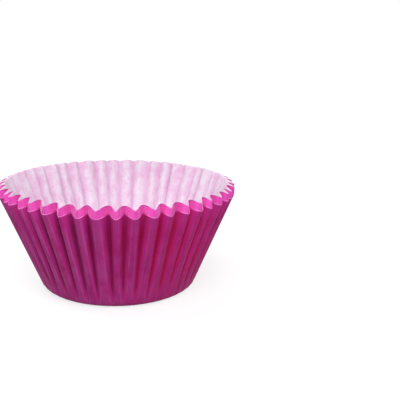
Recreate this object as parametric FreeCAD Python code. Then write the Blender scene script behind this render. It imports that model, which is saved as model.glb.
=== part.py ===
import FreeCAD, Part
import math
import os

# A stack of fluted paper baking cups, nested one in the other and standing on the base of the outermost.
# Each cup is one sheet of greaseproof paper: a flat base, a rounded corner and a flaring wall pressed into
# pleats that start at the corner and deepen towards the rim. Lengths are in millimetres and +Z is up.
# The origin is the centre of the stack's foot.

# Driving sizes of one cup, over the outside of its paper
base_diameter = 50.0          # where the line of the pleat crests meets the table
rim_diameter = 76.0           # over the pleat crests at the rim
wall_height = 31.5            # rim above the table, at a crest
corner_radius = 3.0           # between the base and the wall
pleat_count = 46
pleat_depth = 2.7             # crest to trough at the rim, measured towards the axis
crest_share_rim = 0.35        # width of a crest's flat, as a share of one pleat, at the rim
crest_share_foot = 0.62       # the same at the foot, where the grooves close up
trough_share_rim = 0.11       # width of a trough's flat, as a share of one pleat, at the rim
paper_thickness = 0.07

# Driving sizes of the stack
liner_count = 8
sheet_gap = 0.025             # air between two nested sheets, at the troughs, where they lie closest

# Worked out from the sizes above
pleat_angle = 2 * math.pi / pleat_count
base_radius = base_diameter / 2
rim_radius = rim_diameter / 2
crest_lean = math.atan2(rim_radius - base_radius, wall_height)     # crest line, away from upright
corner_sweep = math.pi / 2 - crest_lean                            # the turn from the base to the wall
corner_centre_radius = base_radius - corner_radius * math.tan(corner_sweep / 2)
foot_radius = corner_centre_radius + corner_radius * math.sin(corner_sweep)
foot_height = corner_radius * (1 - math.cos(corner_sweep))

crest_half_rim = crest_share_rim * rim_radius * math.tan(pleat_angle / 2)
crest_half_foot = crest_share_foot * foot_radius * math.tan(pleat_angle / 2)
trough_radius_rim = rim_radius - pleat_depth
trough_half_rim = trough_share_rim * rim_radius * math.tan(pleat_angle / 2)

# The paper was a flat disc, so the wall is equally long along a crest and along a trough. A trough is
# steeper, and its end stands higher.
wall_length = math.hypot(rim_radius - foot_radius, wall_height - foot_height)
trough_radius_foot = foot_radius * math.cos(pleat_angle / 2) + crest_half_foot * math.sin(pleat_angle / 2)
trough_run = trough_radius_rim - trough_radius_foot
trough_height = foot_height + math.sqrt(wall_length**2 - trough_run**2)
trough_lean = math.atan2(trough_run, trough_height - foot_height)

# A cup nests until its troughs lie one sheet and one gap inside those of the cup below it.
sheet_pitch = paper_thickness + sheet_gap
nest_rise = sheet_pitch / math.sin(trough_lean)

# Where a crest turns into a pleat's side, a sheet that lies further in has a narrower crest, and where a
# trough does, a wider trough.
side_run = rim_radius * math.tan(pleat_angle / 2) - crest_half_rim - trough_half_rim
side_turn = math.atan2(pleat_depth, side_run)
mitre = math.tan(side_turn / 2)


def place(angle, radius, sideways, height):
    """A point at a distance from the axis along a pleat's own direction, and a distance to its left."""
    return FreeCAD.Vector(
        radius * math.cos(angle) - sideways * math.sin(angle),
        radius * math.sin(angle) + sideways * math.cos(angle),
        height,
    )


def skin_points(narrowing, inset, lift):
    """The corners of one side of a sheet, as lists with one entry for each pleat.

    narrowing is taken from each side of a crest and given to each side of a trough. inset is how far this
    side of the paper lies inside the cup's outer side, and lift is how high the cup stands in the stack.
    """
    bend_radius = corner_radius - inset
    wall_inset = inset / math.cos(crest_lean)
    crest_half = crest_half_rim - narrowing
    trough_half = trough_half_rim + narrowing
    centre_height = corner_radius + lift
    points = {name: [] for name in ("base", "bend", "foot", "crest", "trough")}
    for pleat in range(pleat_count):
        here = pleat * pleat_angle
        between = here + pleat_angle / 2
        points["base"].append(place(here, corner_centre_radius, 0, centre_height - bend_radius))
        points["bend"].append(
            place(
                here,
                corner_centre_radius + bend_radius * math.sin(corner_sweep / 2),
                0,
                centre_height - bend_radius * math.cos(corner_sweep / 2),
            )
        )
        foot = (
            corner_centre_radius + bend_radius * math.sin(corner_sweep),
            centre_height - bend_radius * math.cos(corner_sweep),
        )
        points["foot"].append([place(here, foot[0], side * crest_half_foot, foot[1]) for side in (-1, 1)])
        points["crest"].append(
            [place(here, rim_radius - wall_inset, side * crest_half, wall_height + lift) for side in (-1, 1)]
        )
        points["trough"].append(
            [place(between, trough_radius_rim - wall_inset, side * trough_half, trough_height + lift)
             for side in (-1, 1)]
        )
    return points


def flat(*corners):
    """One flat face through its corners."""
    return Part.Face(Part.makePolygon([*corners, corners[0]]))


def skin_faces(points):
    """The base, the rounded corner and the pleated wall of one side of a sheet."""
    base, bend, foot, crest, trough = (points[name] for name in ("base", "bend", "foot", "crest", "trough"))
    faces = [flat(*base)]
    for pleat in range(pleat_count):
        after = (pleat + 1) % pleat_count
        right, left = foot[pleat]
        next_right = foot[after][0]
        faces += [
            flat(base[pleat], base[after], bend[after], bend[pleat]),
            flat(bend[pleat], left, right),
            flat(bend[pleat], bend[after], next_right, left),
            flat(right, left, crest[pleat][1], crest[pleat][0]),
            flat(left, trough[pleat][0], crest[pleat][1]),
            flat(left, next_right, trough[pleat][1], trough[pleat][0]),
            flat(next_right, crest[after][0], trough[pleat][1]),
        ]
    return faces


def rim_faces(outer, inner):
    """The cut edge of the paper, between the tops of its two sides."""
    faces = []
    for pleat in range(pleat_count):
        after = (pleat + 1) % pleat_count
        edge = [*outer["crest"][pleat], *outer["trough"][pleat], outer["crest"][after][0]]
        inside = [*inner["crest"][pleat], *inner["trough"][pleat], inner["crest"][after][0]]
        for step in range(len(edge) - 1):
            faces.append(flat(edge[step], edge[step + 1], inside[step]))
            faces.append(flat(edge[step + 1], inside[step + 1], inside[step]))
    return faces


def liner(index):
    """One paper cup, counted from the outermost at 0."""
    narrowing = index * sheet_pitch * mitre
    lift = index * nest_rise
    outer = skin_points(narrowing, 0, lift)
    inner = skin_points(narrowing + paper_thickness * mitre, paper_thickness, lift)
    shell = Part.makeShell(skin_faces(outer) + skin_faces(inner) + rim_faces(outer, inner))
    shell.sewShape()
    solid = Part.makeSolid(shell)
    if solid.Volume < 0:
        solid.reverse()
    return solid


os.makedirs("parts", exist_ok=True)
for index in range(liner_count):
    cup = liner(index)
    cup.exportStep(f"parts/liner_{index + 1}.step")
    box = cup.BoundBox
    print(
        f"liner_{index + 1}: valid {cup.isValid()}, faces {len(cup.Faces)}, volume {cup.Volume:.1f} mm3,"
        f" z {box.ZMin:.3f} to {box.ZMax:.3f}, width {box.XLength:.2f}"
    )
print(f"each cup stands {nest_rise:.3f} mm above the one below it")
print(f"a trough of the outermost cup ends at {trough_height:.2f} mm")
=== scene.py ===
import math

import bpy
import numpy as np
from mathutils import Matrix, Vector


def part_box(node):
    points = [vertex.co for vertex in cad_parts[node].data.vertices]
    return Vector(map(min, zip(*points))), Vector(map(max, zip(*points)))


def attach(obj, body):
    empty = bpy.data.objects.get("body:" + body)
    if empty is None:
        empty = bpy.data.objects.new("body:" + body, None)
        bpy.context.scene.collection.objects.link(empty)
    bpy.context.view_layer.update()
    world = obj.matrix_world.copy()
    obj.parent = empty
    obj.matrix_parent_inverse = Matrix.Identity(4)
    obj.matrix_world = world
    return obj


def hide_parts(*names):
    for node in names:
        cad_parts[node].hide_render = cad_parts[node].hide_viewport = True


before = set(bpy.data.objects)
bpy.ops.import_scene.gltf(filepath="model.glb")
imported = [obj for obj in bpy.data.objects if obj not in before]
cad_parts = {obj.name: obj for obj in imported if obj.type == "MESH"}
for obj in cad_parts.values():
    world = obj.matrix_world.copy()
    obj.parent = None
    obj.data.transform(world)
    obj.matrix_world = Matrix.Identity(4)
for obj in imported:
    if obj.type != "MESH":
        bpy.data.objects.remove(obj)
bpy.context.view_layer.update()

# A stack of pink paper baking cups, nested one in the other. Shapes are worked out in millimetres.
millimetre = 0.001
nodeNames = sorted(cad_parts)  # liner_1 is the outermost cup, and the last is the innermost
print(f"frame loaded: {len(nodeNames)} liners")


# One liner

liner = {
    "pleats": 46,
    "baseDiameter": 50.0,       # where the line of the crests meets the table
    "rimDiameter": 76.0,        # over the crests
    "wallHeight": 31.4,         # at a crest
    "cornerRadius": 3.0,        # between the base and the wall
    "pleatDepth": 2.6,          # crest to trough at the rim, where a pleat is at its deepest
    "pleatStart": 2.2,          # how far below the top of the corner the pleats begin
    "depthGrowth": 0.95,        # power with which they deepen up the wall
    "paperThickness": 0.07,
    "rimSharpness": 0.64,       # 1 is a sine wave, and less folds the outermost's troughs and the
                                # innermost's crests more sharply, with broad rounds between them
    "footSharpness": 0.36,      # the same at the foot, where the folds close up
    "columnsPerPleat": 18,
    "columnGather": 0.4,        # how far the columns move in towards the sharp folds
    "baseRows": (0.0, 0.4, 0.8, 0.95),  # as shares of the flat base's radius
    "cornerRows": 9,
    "wallRows": 18,
    "rimRound": 0.50,           # mm below the cut edge over which it rounds off and catches the light
    "spacingWander": 0.030,     # radians by which a pleat stands out of its place
    "spacingWaves": (3, 7, 12, 17, 23, 31),     # how many go round the cup, as for the other waves
    "depthWander": 0.22,        # share by which a shallow pleat is less deep
    "depthWaves": (2, 5, 9, 14, 19, 29),
    "twistWander": 0.022,       # radians by which it leans sideways at the rim
    "twistWaves": (2, 4, 9, 13, 21),
    "rimWander": 0.08,          # mm by which a cut edge runs low
    "rimWaves": (2, 3, 5, 8, 13, 21, 55),
    "rimWanderPower": 12,       # keeps the uneven edge near the rim
    "toneReach": 0.25,          # share of the pleats' length over which the folds' colours come in
    "seed": 2618,
}


def wander(angle, orders, size, random):
    # the sum of one sine wave round the cup for each order, with random shares and starts, never over size
    shares = random.uniform(0.4, 1.0, len(orders))
    starts = random.uniform(0, 2 * math.pi, len(orders))
    return size * np.sin(np.multiply.outer(angle, orders) + starts) @ (shares / shares.sum())


def paperGrid(number, lift):
    # Rows run from the middle of the base out and up to the rim, and columns run round the cup.
    # A crest follows the base, the corner's arc and the leaning wall. A trough lies inside it by the pleat's
    # depth, and stands higher, because the paper is as long up a trough as up a crest.
    baseRadius, rimRadius = liner["baseDiameter"] / 2, liner["rimDiameter"] / 2
    corner = liner["cornerRadius"]
    lean = math.atan2(rimRadius - baseRadius, liner["wallHeight"])
    sweep = math.pi / 2 - lean
    flatRadius = baseRadius - corner * math.tan(sweep / 2)
    cornerLength = corner * sweep
    footRadius = flatRadius + corner * math.sin(sweep)
    footHeight = corner * (1 - math.cos(sweep))
    wallLength = math.hypot(rimRadius - footRadius, liner["wallHeight"] - footHeight)
    paperRadius = flatRadius + cornerLength + wallLength

    # the way along the paper from the middle of the base, one entry for each row
    flatRows = flatRadius * np.array(liner["baseRows"])
    cornerRows = flatRadius + cornerLength * np.linspace(0, 1, liner["cornerRows"] + 1)
    wallRows = cornerRows[-1] + (wallLength - liner["rimRound"]) * np.linspace(0, 1, liner["wallRows"])
    way = np.concatenate([flatRows, cornerRows[:-1], wallRows, [paperRadius]])[:, None]

    # the angle of each column, closer together where this liner's pleats turn sharply
    inwards = (number - 1) / (len(nodeNames) - 1)   # 0 for the outermost liner, 1 for the innermost
    pleats = liner["pleats"]
    evenly = np.linspace(0, 2 * math.pi, pleats * liner["columnsPerPleat"], endpoint=False)
    angle = evenly + liner["columnGather"] * (1 - 2 * inwards) / pleats * np.sin(pleats * evenly)

    # what all liners share, because they lie in each other, and what each has of its own
    shared = np.random.default_rng(liner["seed"])
    spacing = wander(angle, liner["spacingWaves"], liner["spacingWander"], shared)
    shallow = 0.5 + wander(angle, liner["depthWaves"], 0.5, shared)
    depthShare = 1 - liner["depthWander"] * shallow
    twist = wander(angle, liner["twistWaves"], liner["twistWander"], shared)
    own = np.random.default_rng(liner["seed"] + number)
    uneven = wander(angle, liner["rimWaves"], liner["rimWander"] / 2, own) - liner["rimWander"] / 2

    # The pleats are 0 on a crest and 1 in a trough, as one less the squared cosine of half the phase. A power
    # under 1 on the cosine folds the trough sharply, and one on the whole folds the crest sharply.
    pleatStart = flatRadius + cornerLength - liner["pleatStart"]
    up = np.clip((way - pleatStart) / (paperRadius - pleatStart), 0, 1)
    sharpness = liner["footSharpness"] + (liner["rimSharpness"] - liner["footSharpness"]) * up
    troughPower = sharpness ** (1 - inwards)
    crestPower = sharpness ** inwards
    trough = (1 - (np.cos(pleats * angle / 2) ** 2) ** troughPower) ** crestPower
    way = way + uneven * up ** liner["rimWanderPower"]
    depth = liner["pleatDepth"] * up ** liner["depthGrowth"] * depthShare * trough

    # A crest's radius and height follow from the way along it. From row to row, a trough has the crest's
    # length and its own step in radius, and by Pythagoras what is left of the length is its step in height.
    turned = np.clip((way - flatRadius) / corner, 0, sweep)
    onWall = np.maximum(way - flatRadius - cornerLength, 0)
    crestRadius = np.minimum(way, flatRadius) + corner * np.sin(turned) + onWall * math.sin(lean)
    crestHeight = corner * (1 - np.cos(turned)) + onWall * math.cos(lean)
    radius = crestRadius - depth
    outSquared, upSquared, inSquared = [
        np.diff(line, axis=0) ** 2 for line in (crestRadius, crestHeight, radius)
    ]
    rise = np.sqrt(np.maximum(outSquared + upSquared - inSquared, 0))
    height = np.vstack([np.zeros(len(angle)), np.cumsum(rise, axis=0)])

    place = angle + spacing + twist * up
    points = np.stack([radius * np.cos(place), radius * np.sin(place), height + lift], axis=-1)
    flatWay = np.minimum(way, footRadius)
    around = np.broadcast_arrays(flatWay * np.cos(angle), flatWay * np.sin(angle), way - flatWay)
    atEnd = number in (1, len(nodeNames))
    return points, {
        "paperPlace": np.stack(around, axis=-1),    # mm over the base, and mm of paper up from it
        "inTrough": trough * np.minimum(up / liner["toneReach"], 1),    # 0 on a crest and at the foot
        "belowRim": way[-1] - way,                  # mm below the cut edge
        "freeEdge": np.full(way.shape, float(atEnd)),   # 1 on the two liners with air beside their cut edge
    }


def inOneList(grid):
    # the first row is a single point, so only its first entry is kept
    return np.concatenate([grid[0, :1], grid[1:].reshape(-1, *grid.shape[2:])])


def paperMesh(name, points, facts):
    # the first row is one point in the middle of the base, with a fan round it, and the rest are quads
    rows, columns = points.shape[:2]
    near = np.arange(columns)
    after = np.roll(near, -1)
    ring = 1 + np.arange(rows - 2)[:, None] * columns
    fan = np.stack([np.zeros(columns, int), 1 + after, 1 + near], axis=-1)
    quads = np.stack([ring + near, ring + after, ring + columns + after, ring + columns + near], axis=-1)
    mesh = bpy.data.meshes.new(name)
    faces = fan.tolist() + quads.reshape(-1, 4).tolist()
    mesh.from_pydata((inOneList(points) * millimetre).tolist(), [], faces)
    for fact, grid in facts.items():
        kind, key = ("FLOAT_VECTOR", "vector") if grid.ndim == 3 else ("FLOAT", "value")
        attribute = mesh.attributes.new(fact, kind, "POINT")
        attribute.data.foreach_set(key, inOneList(grid).astype(np.float32).ravel())
    mesh.polygons.foreach_set("use_smooth", np.ones(len(mesh.polygons), bool))
    mesh.validate()
    return mesh


# Materials

celluloseIor = 1.5
noiseRoughness = 0.6            # how strong the finer spots of a speckle are


def fromHex(code):
    # sRGB hex to the linear colour that a shader takes
    values = [int(code[i:i + 2], 16) / 255 for i in (1, 3, 5)]
    return [v / 12.92 if v <= 0.04045 else ((v + 0.055) / 1.055) ** 2.4 for v in values] + [1.0]


def newMaterial(name):
    material = bpy.data.materials.new(name)
    material.use_nodes = True
    material.node_tree.nodes.clear()
    return material


def addNode(owner, kind, sockets, **settings):
    # adds a node to a material or the world, sets it up, and fills or links each of its sockets
    node = owner.node_tree.nodes.new(kind)
    for setting, value in settings.items():
        setattr(node, setting, value)
    for socket, value in sockets.items():
        if isinstance(value, bpy.types.NodeSocket):
            owner.node_tree.links.new(value, node.inputs[socket])
        else:
            node.inputs[socket].default_value = value
    return node


def makePaper(name, look):
    # The facts stored with the mesh and the speckles are the values. A share goes smoothly from one result to
    # another while its value goes from one level to another, and is then multiplied by the values named last.
    # A blend goes from its first colour to its second by a share, and the last one is the surface.
    material = newMaterial(name)
    place = addNode(material, "ShaderNodeAttribute", {}, attribute_name="paperPlace").outputs["Vector"]
    alongAxes = addNode(material, "ShaderNodeSeparateXYZ", {"Vector": place}).outputs
    values = {"sideways": alongAxes["X"], "fromBase": alongAxes["Z"]}
    for fact in look["facts"]:
        values[fact] = addNode(material, "ShaderNodeAttribute", {}, attribute_name=fact).outputs["Fac"]
    for speckle, (size, stretch, detail) in look["speckles"].items():
        scale = (1 / size, 1 / size, 1 / size / stretch)
        drawn = addNode(material, "ShaderNodeMapping", {"Vector": place, "Scale": scale}).outputs["Vector"]
        sockets = {"Vector": drawn, "Scale": 1.0, "Detail": detail, "Roughness": noiseRoughness}
        values[speckle] = addNode(material, "ShaderNodeTexNoise", sockets).outputs["Fac"]
    for share, (value, low, high, atLow, atHigh, *factors) in look["shares"].items():
        sockets = {
            "Value": values[value], "From Min": low, "From Max": high, "To Min": atLow, "To Max": atHigh,
        }
        eased = addNode(material, "ShaderNodeMapRange", sockets, interpolation_type="SMOOTHSTEP").outputs[0]
        for factor in factors:
            sockets = {0: eased, 1: values[factor]}
            eased = addNode(material, "ShaderNodeMath", sockets, operation="MULTIPLY").outputs[0]
        values[share] = eased
    colours = {colour: fromHex(code) for colour, code in look["colours"].items()}
    for blend, share, first, second in look["blends"]:
        sockets = {0: values[share], 6: colours[first], 7: colours[second]}
        colours[blend] = addNode(material, "ShaderNodeMix", sockets, data_type="RGBA").outputs[2]
    finish = {
        "Base Color": colours["surface"], "Roughness": look["roughness"],
        "IOR": celluloseIor, "Specular IOR Level": look["shine"],
    }
    under = {}
    for speckle, strength, height in look["reliefs"]:
        sockets = {"Height": values[speckle], "Strength": strength, "Distance": height * millimetre, **under}
        under = {"Normal": addNode(material, "ShaderNodeBump", sockets).outputs["Normal"]}
    shader = addNode(material, "ShaderNodeBsdfPrincipled", {**finish, **under})
    addNode(material, "ShaderNodeOutputMaterial", {"Surface": shader.outputs["BSDF"]})
    return material


# In the three papers below, a speckle has the size of its spots in mm, how far they are drawn out along the
# pleats, and how many rounds of finer spots it has. A share has its value, two levels of it, the result at
# each, and what multiplies it. A relief has its speckle, its strength and its height in mm.

# Greaseproof paper, dyed pink on its outside. It is pressed smooth, so it has a soft satin shine, thin clouds
# where the dye took unevenly, and fine streaks. A paler mauve on the crests and a lighter pink along their
# creases are painted sheen and highlights. The brighter top strip of each liner is painted light, with a
# light line where the cut fibres stand open. Down in the folds, where light goes from wall to wall, it is
# deeper, as painted shade: plum on the cup's -X side, and crimson on its +X side, where all of it is a little
# warmer and the painted sheen fainter, as painted light.
dyed = {
    "colours": {
        "pink": "#F03CB4",
        "deepPink": "#E832A0",
        # warmPink is painted warm light on the +X side
        "warmPink": "#EE2690",
        # crestMauve and creasePink are painted sheen and painted highlights
        "crestMauve": "#F466CC",
        "creasePink": "#FF8CDC",
        # foldPlum and foldCrimson are painted shade for the folds, and foldPlum is also the colour of the
        # fibres' streaks
        "foldPlum": "#90085A",
        "foldCrimson": "#D80C54",
        # painted light: the rim strips' brighter pink, also used where light comes through the paper
        "rimLitPink": "#F848C6",
        "rimDeep": "#E636AA",
        "edgePink": "#FFB0E6",
        "edgeShade": "#92205F",
    },
    "facts": ("inTrough", "belowRim", "freeEdge"),
    "speckles": {
        "clouds": (6.0, 1.0, 3.0),
        "sheenSpots": (5.0, 2.0, 3.0),
        "streaks": (0.9, 12.0, 3.0),
        "fibres": (0.5, 12.0, 3.0),     # coarser than real fibres, so that they show
        "creases": (1.4, 1.5, 2.0),
    },
    "shares": {
        "clouded": ("clouds", 0.35, 0.65, 0.0, 1.0),
        "streaked": ("streaks", 0.45, 0.75, 0.0, 0.45),
        "patchySheen": ("sheenSpots", 0.30, 0.65, 0.0, 1.0),
        # painted light: towards +X the folds turn crimson, all of it is warmer, and the painted sheen and
        # highlights are fainter
        "redderLitSide": ("sideways", -12.0, 16.0, 0.0, 1.0),      # mm along X, as in the next three
        "warmerLitSide": ("sideways", -12.0, 16.0, 0.0, 0.5),
        "lessCrestSheen": ("sideways", -12.0, 16.0, 1.0, 0.2),
        "lessCreaseHighlight": ("sideways", -12.0, 16.0, 1.0, 0.2),
        # painted sheen on the crests' broad rounds and painted highlights along their two sides, in patches
        "crestSheen": ("inTrough", 0.0, 0.35, 0.55, 0.0, "patchySheen", "lessCrestSheen"),     # the crests' broad rounds
        "byCrest": ("inTrough", 0.15, 0.30, 1.0, 0.0),
        "creaseHighlight": ("inTrough", 0.05, 0.15, 0.0, 0.38, "byCrest", "patchySheen", "lessCreaseHighlight"),   # their two sides
        # painted shade down in the folds
        "foldShade": ("inTrough", 0.35, 0.90, 0.0, 0.90),
        "low": ("inTrough", 0.30, 0.80, 0.0, 1.0),
        "litThrough": ("belowRim", 0.0, 7.0, 0.25, 0.0),    # where light comes through the paper
        # painted light: the strip of each liner that shows over the next is a brighter pink
        "rimLitStrip": ("belowRim", 0.36, 0.468, 1.0, 0.0),       # what shows of each liner over the next
        # a lighter line along the free cut edges, darkened where they run through a trough as a painted shade
        # line
        "atEdge": ("belowRim", 0.0, 0.28, 1.0, 0.0, "freeEdge"),
    },
    "blends": (
        ("fold", "redderLitSide", "foldPlum", "foldCrimson"),
        ("rim", "low", "rimLitPink", "rimDeep"),
        ("edge", "low", "edgePink", "edgeShade"),
        ("surface", "clouded", "pink", "deepPink"),
        ("surface", "warmerLitSide", "surface", "warmPink"),
        ("surface", "streaked", "surface", "foldPlum"),
        ("surface", "crestSheen", "surface", "crestMauve"),
        ("surface", "creaseHighlight", "surface", "creasePink"),
        ("surface", "foldShade", "surface", "fold"),
        ("surface", "litThrough", "surface", "rimLitPink"),
        ("surface", "rimLitStrip", "surface", "rim"),
        ("surface", "atEdge", "surface", "edge"),
    ),
    "reliefs": (("creases", 1.0, 0.06), ("fibres", 0.6, 0.02)),
    "roughness": 0.6,
    "shine": 0.3,       # specular level
}

# The inside of the same paper, where the dye only shows through: nearly white, with pink clouds and specks.
# It is pinker down in the valleys as painted shade, for light that bounces between the folds, and evenly
# pinker on the flat base as painted shade where the lamps shine straight down on it.
pale = {
    "colours": {
        "white": "#ECE4EE",
        "pink": "#E1A8D1",
    },
    "facts": ("inTrough",),
    "speckles": {
        "clouds": (1.6, 2.5, 3.0),
        "specks": (0.5, 2.0, 2.0),
    },
    "shares": {
        "pinkShadeLevel": ("fromBase", 0.0, 10.0, 0.35, 0.50),     # less on the flat base, where there are no folds
        "valleyShade": ("inTrough", 0.0, 0.85, 1.0, 0.0, "pinkShadeLevel"),
        "clouded": ("clouds", 0.35, 0.75, 0.0, 0.6),
        "specked": ("specks", 0.5, 0.8, 0.0, 0.5),
    },
    "blends": (
        ("surface", "valleyShade", "white", "pink"),
        ("surface", "clouded", "surface", "pink"),
        ("surface", "specked", "surface", "pink"),
    ),
    "reliefs": (("specks", 0.6, 0.02),),
    "roughness": 0.6,
    "shine": 0.5,
}

# The cut edge of the paper: open fibres with half of the dye's strength, a light line along the rim.
cutEdge = {
    "colours": {
        "pink": "#FFB4E6",
        "deep": "#F57FCB",
    },
    "facts": (),
    "speckles": {
        "specks": (0.4, 1.0, 3.0),
    },
    "shares": {
        "specked": ("specks", 0.3, 0.7, 0.0, 1.0),
    },
    "blends": (
        ("surface", "specked", "pink", "deep"),
    ),
    "reliefs": (("specks", 0.6, 0.02),),
    "roughness": 0.8,
    "shine": 0.3,
}


def makeLiner(number, node, materials):
    # the outer side of the paper is a mesh, and its thickness is put on towards the inside
    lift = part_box(node)[0].z / millimetre
    mesh = paperMesh(f"paper_{node}", *paperGrid(number, lift))
    for material in materials:
        mesh.materials.append(material)
    piece = bpy.data.objects.new(f"paper_{node}", mesh)
    bpy.context.scene.collection.objects.link(piece)
    thickness = piece.modifiers.new("thickness", "SOLIDIFY")
    thickness.thickness = liner["paperThickness"] * millimetre
    thickness.offset = -1
    thickness.material_offset = 1
    thickness.material_offset_rim = 2
    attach(piece, "root")
    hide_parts(node)


papers = {"dyedGreaseproofPaper": dyed, "paleGreaseproofPaper": pale, "cutPaperEdge": cutEdge}
materials = [makePaper(name, look) for name, look in papers.items()]    # outside, inside and edge
print(f"papers made: {len(materials)}")
for number, node in enumerate(nodeNames, start=1):
    makeLiner(number, node, materials)
print(f"liners made: {len(nodeNames)}")


# The floor, the light and the camera

studio = {
    "floorSize": 12.0,          # m
    "floorDrop": 0.00002,       # m below the foot, so that the two faces don't fight
    "floorBounce": 0.10,        # how much light the floor throws back under the wall
    "floorGlow": 1.15,          # the white that the camera sees, before its share of shading
    "floorWhite": 0.95,         # the floor's own white, which carries that shading
    "floorShadow": 0.35,        # share of the real shading that the camera sees on the white floor
    "shadowReach": (0.10, 0.50),    # m from the stack between which that share fades away
    "skyLevel": 0.28,           # of the light from all round, straight ahead and above
    "sideLevel": 0.20,          # the same from the left and the right
    "backLevel": 0.42,          # what comes on top of it from behind the stack
    "fullTurn": 0.9,            # how far a direction points sideways or back where those levels are reached
}
lamps = {                       # places and sizes in m, powers in W
    "softbox": {"place": (0.10, -0.48, 0.80), "size": 0.7, "power": 5.6, "colour": (1.0, 0.99, 1.0)},
    "high": {"place": (-0.36, 0.02, 0.84), "size": 0.3, "power": 2.9, "colour": (1.0, 0.99, 1.0)},
    "fill": {"place": (-0.10, -0.70, 0.22), "size": 0.5, "power": 0.75, "colour": (1.0, 0.80, 0.88)},
}


def seenDirectly(owner):
    # 1 for the rays that show a surface to the eye, straight or in a mirror or glass, and 0 for those that
    # only carry light
    rays = addNode(owner, "ShaderNodeLightPath", {}).outputs
    seen = rays["Is Camera Ray"]
    for kind in ("Is Glossy Ray", "Is Transmission Ray"):
        seen = addNode(owner, "ShaderNodeMath", {0: seen, 1: rays[kind]}, operation="MAXIMUM").outputs[0]
    return seen


def makeFloor():
    half = studio["floorSize"] / 2
    corners = [(-half, -half), (half, -half), (half, half), (-half, half)]
    mesh = bpy.data.meshes.new("floor")
    mesh.from_pydata([(x, y, -studio["floorDrop"]) for x, y in corners], [], [(0, 1, 2, 3)])
    material = newMaterial("paleFloor")
    place = addNode(material, "ShaderNodeTexCoord", {}).outputs["Object"]
    far = addNode(material, "ShaderNodeVectorMath", {0: place}, operation="LENGTH").outputs["Value"]
    near, away = studio["shadowReach"]
    deepest = studio["floorShadow"]
    sockets = {"Value": far, "From Min": near, "From Max": away, "To Min": deepest, "To Max": 0.0}
    shadow = addNode(material, "ShaderNodeMapRange", sockets, interpolation_type="SMOOTHSTEP").outputs[0]
    bounce, white = [
        addNode(material, "ShaderNodeBsdfDiffuse", {"Color": (level, level, level, 1)}).outputs[0]
        for level in (studio["floorBounce"], studio["floorWhite"])
    ]
    glow = addNode(material, "ShaderNodeEmission", {"Color": (1, 1, 1, 1), "Strength": studio["floorGlow"]})
    shown = addNode(material, "ShaderNodeMixShader", {0: shadow, 1: glow.outputs[0], 2: white}).outputs[0]
    surface = addNode(material, "ShaderNodeMixShader", {0: seenDirectly(material), 1: bounce, 2: shown})
    addNode(material, "ShaderNodeOutputMaterial", {"Surface": surface.outputs[0]})
    mesh.materials.append(material)
    floor = bpy.data.objects.new("floor", mesh)
    bpy.context.scene.collection.objects.link(floor)


def makeWorld():
    world = bpy.data.worlds.new("studio")
    world.use_nodes = True
    world.node_tree.nodes.clear()
    bpy.context.scene.world = world
    direction = addNode(world, "ShaderNodeTexCoord", {}).outputs["Generated"]
    towards = addNode(world, "ShaderNodeSeparateXYZ", {"Vector": direction}).outputs
    aside = addNode(world, "ShaderNodeMath", {0: towards["X"]}, operation="ABSOLUTE").outputs[0]
    turns = ((aside, studio["skyLevel"], studio["sideLevel"]), (towards["Y"], 0.0, studio["backLevel"]))
    levels = []
    for turn, atNone, atFull in turns:
        ends = {"From Min": 0.0, "From Max": studio["fullTurn"], "To Min": atNone, "To Max": atFull}
        eased = addNode(world, "ShaderNodeMapRange", {"Value": turn, **ends}, interpolation_type="SMOOTHSTEP")
        levels.append(eased.outputs[0])
    level = addNode(world, "ShaderNodeMath", dict(enumerate(levels)), operation="ADD").outputs[0]
    sky, backdrop = [
        addNode(world, "ShaderNodeBackground", {"Color": (1, 1, 1, 1), "Strength": strength}).outputs[0]
        for strength in (level, 1.0)
    ]
    both = addNode(world, "ShaderNodeMixShader", {0: seenDirectly(world), 1: sky, 2: backdrop})
    addNode(world, "ShaderNodeOutputWorld", {"Surface": both.outputs[0]})


def makeLamp(name, place, size, power, colour):
    # a round soft lamp that looks at the foot of the stack
    data = bpy.data.lights.new(name, "AREA")
    data.shape = "DISK"
    data.size = size
    data.energy = power
    data.color = colour
    lamp = bpy.data.objects.new(name, data)
    lamp.location = place
    lamp.rotation_euler = (-Vector(place)).to_track_quat("-Z", "Y").to_euler()
    bpy.context.scene.collection.objects.link(lamp)


# where the photograph was taken from, found from the rim's and the foot's outlines in its 400 by 400 pixels
view = {
    "place": (-0.0088, -0.2034, 0.0776),    # m
    "down": 13.78,                          # degrees, as are the two below
    "right": 10.02,
    "roll": 1.38,
    "focalPixels": 630.3,
    "framePixels": 400,
    "sensorWidth": 36.0,                    # mm
    "clip": (0.01, 50.0),                   # m
}


def makeCamera():
    data = bpy.data.cameras.new("camera")
    data.sensor_width = view["sensorWidth"]
    data.lens = view["focalPixels"] / view["framePixels"] * data.sensor_width
    data.clip_start, data.clip_end = view["clip"]
    camera = bpy.data.objects.new("camera", data)
    camera.location = view["place"]
    turns = [(-view["right"], "Z"), (90 - view["down"], "X"), (view["roll"], "Z")]
    pan, pitch, roll = [Matrix.Rotation(math.radians(degrees), 3, axis) for degrees, axis in turns]
    camera.rotation_euler = (pan @ pitch @ roll).to_euler()
    bpy.context.scene.collection.objects.link(camera)
    bpy.context.scene.camera = camera


makeFloor()
makeWorld()
for name, lamp in lamps.items():
    makeLamp(name, **lamp)
makeCamera()
bpy.context.scene.view_settings.view_transform = "Standard"
print("floor, light and camera made")
